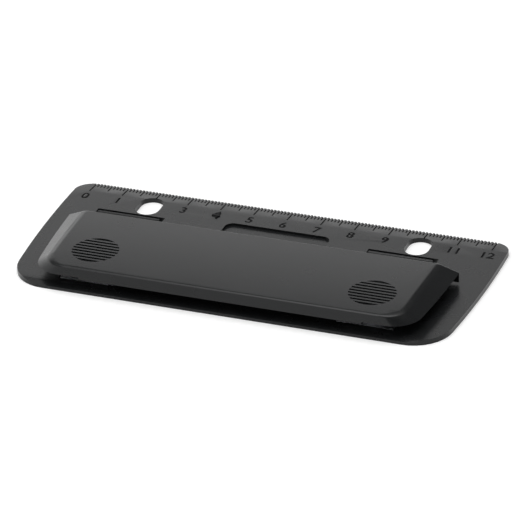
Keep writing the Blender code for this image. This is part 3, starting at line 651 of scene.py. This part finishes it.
def floor_material():
    material = bpy.data.materials.new("floor_white")
    material.use_nodes = True
    tree = material.node_tree
    shader = tree.nodes["Principled BSDF"]
    shader.inputs["Base Color"].default_value = FLOOR_WHITE
    shader.inputs["Roughness"].default_value = FLOOR_ROUGHNESS
    shader.inputs["Specular IOR Level"].default_value = 0
    path = tree.nodes.new("ShaderNodeLightPath")
    seen = calculate(tree, "MAXIMUM", path.outputs["Is Camera Ray"], path.outputs["Is Glossy Ray"])
    seen = calculate(tree, "MAXIMUM", seen, path.outputs["Is Transmission Ray"])
    glow = tree.nodes.new("ShaderNodeEmission")
    join(tree, calculate(tree, "MULTIPLY", seen, FLOOR_LIFT), glow.inputs["Strength"])
    both = tree.nodes.new("ShaderNodeAddShader")
    join(tree, shader.outputs[0], both.inputs[0])
    join(tree, glow.outputs[0], both.inputs[1])
    join(tree, both.outputs[0], tree.nodes["Material Output"].inputs["Surface"])
    return material


floor_mesh = bpy.data.meshes.new("floor")
floor_mesh.from_pydata([(-FLOOR_HALF, -FLOOR_HALF, 0), (FLOOR_HALF, -FLOOR_HALF, 0),
                        (FLOOR_HALF, FLOOR_HALF, 0), (-FLOOR_HALF, FLOOR_HALF, 0)], [], [(0, 1, 2, 3)])
floor_mesh.materials.append(floor_material())
floor = bpy.data.objects.new("floor", floor_mesh)
scene.collection.objects.link(floor)

# Light. A broad soft box stands behind and to the left, which the plastic's upper faces mirror, the
# rest of the room is dim near the horizon, and the ceiling is pale with one soft lamp overhead.
ROOM_LEVEL = 0.18
BOX_LEVEL = 1.45
BOX_FULL_AZIMUTH = -0.33
BOX_END_AZIMUTH = -0.02
BOX_FULL_SHARE = 0.46
BOX_END_SHARE = 0.58
CEILING_LEVEL = 1.0
CEILING_START_SHARE = 0.66
CEILING_FULL_SHARE = 0.86
LAMP_SIZE = 1.2
LAMP_HEIGHT = 1.6
LAMP_POWER = 12


def fade(tree, value, start, end):
    """Runs softly from 0 at the start to 1 at the end."""
    node = tree.nodes.new("ShaderNodeMapRange")
    node.interpolation_type = "SMOOTHSTEP"
    node.inputs["From Min"].default_value = start
    node.inputs["From Max"].default_value = end
    join(tree, value, node.inputs["Value"])
    return node.outputs["Result"]


def room_light():
    world = bpy.data.worlds.new("studio")
    world.use_nodes = True
    tree = world.node_tree
    way = tree.nodes.new("ShaderNodeSeparateXYZ")
    join(tree, tree.nodes.new("ShaderNodeTexCoord").outputs["Generated"], way.inputs[0])
    azimuth = calculate(tree, "ARCTAN2", way.outputs["X"], way.outputs["Y"])
    left = fade(tree, azimuth, BOX_END_AZIMUTH, BOX_FULL_AZIMUTH)
    low = fade(tree, way.outputs["Z"], BOX_END_SHARE, BOX_FULL_SHARE)
    box = calculate(tree, "MULTIPLY", calculate(tree, "MULTIPLY", left, low), BOX_LEVEL - ROOM_LEVEL)
    high = fade(tree, way.outputs["Z"], CEILING_START_SHARE, CEILING_FULL_SHARE)
    ceiling = calculate(tree, "MULTIPLY", high, CEILING_LEVEL - ROOM_LEVEL)
    level = calculate(tree, "ADD", calculate(tree, "ADD", box, ceiling), ROOM_LEVEL)
    join(tree, level, tree.nodes["Background"].inputs["Strength"])
    tree.nodes["Background"].inputs["Color"].default_value = (1, 1, 1, 1)
    return world


scene.world = room_light()
lamp_data = bpy.data.lights.new("ceiling_lamp", "AREA")
lamp_data.shape = "SQUARE"
lamp_data.size = LAMP_SIZE
lamp_data.energy = LAMP_POWER
lamp = bpy.data.objects.new("ceiling_lamp", lamp_data)
lamp.location = (0, 0, LAMP_HEIGHT)
scene.collection.objects.link(lamp)

# Camera. It stands to the front right, a metre away, where the ruler's marks place it.
TARGET = Vector((0.0027327, -0.0016914, 0.0015))
CAMERA_AZIMUTH = 0.373657
CAMERA_ELEVATION = 0.505122
CAMERA_ROLL = -0.0356916
CAMERA_DISTANCE = 0.991782
FOCAL_PIXELS = 3616.834
PHOTO_PIXELS = 528
SENSOR_WIDTH = 36
CLIP_NEAR = 0.01
CLIP_FAR = 20


def camera_matrix(target, azimuth, elevation, roll, distance):
    forward = Vector((-math.sin(azimuth) * math.cos(elevation), math.cos(azimuth) * math.cos(elevation),
                      -math.sin(elevation)))
    right = Vector((math.cos(azimuth), math.sin(azimuth), 0))
    up = right.cross(forward)
    rolled_right = right * math.cos(roll) + up * math.sin(roll)
    rolled_up = up * math.cos(roll) - right * math.sin(roll)
    turn = Matrix((rolled_right, rolled_up, -forward)).transposed().to_4x4()
    return Matrix.Translation(target - forward * distance) @ turn


camera_data = bpy.data.cameras.new("camera")
camera_data.sensor_width = SENSOR_WIDTH
camera_data.lens = FOCAL_PIXELS * SENSOR_WIDTH / PHOTO_PIXELS
camera_data.clip_start = CLIP_NEAR
camera_data.clip_end = CLIP_FAR
camera = bpy.data.objects.new("camera", camera_data)
scene.collection.objects.link(camera)
camera.matrix_world = camera_matrix(TARGET, CAMERA_AZIMUTH, CAMERA_ELEVATION, CAMERA_ROLL, CAMERA_DISTANCE)
scene.camera = camera
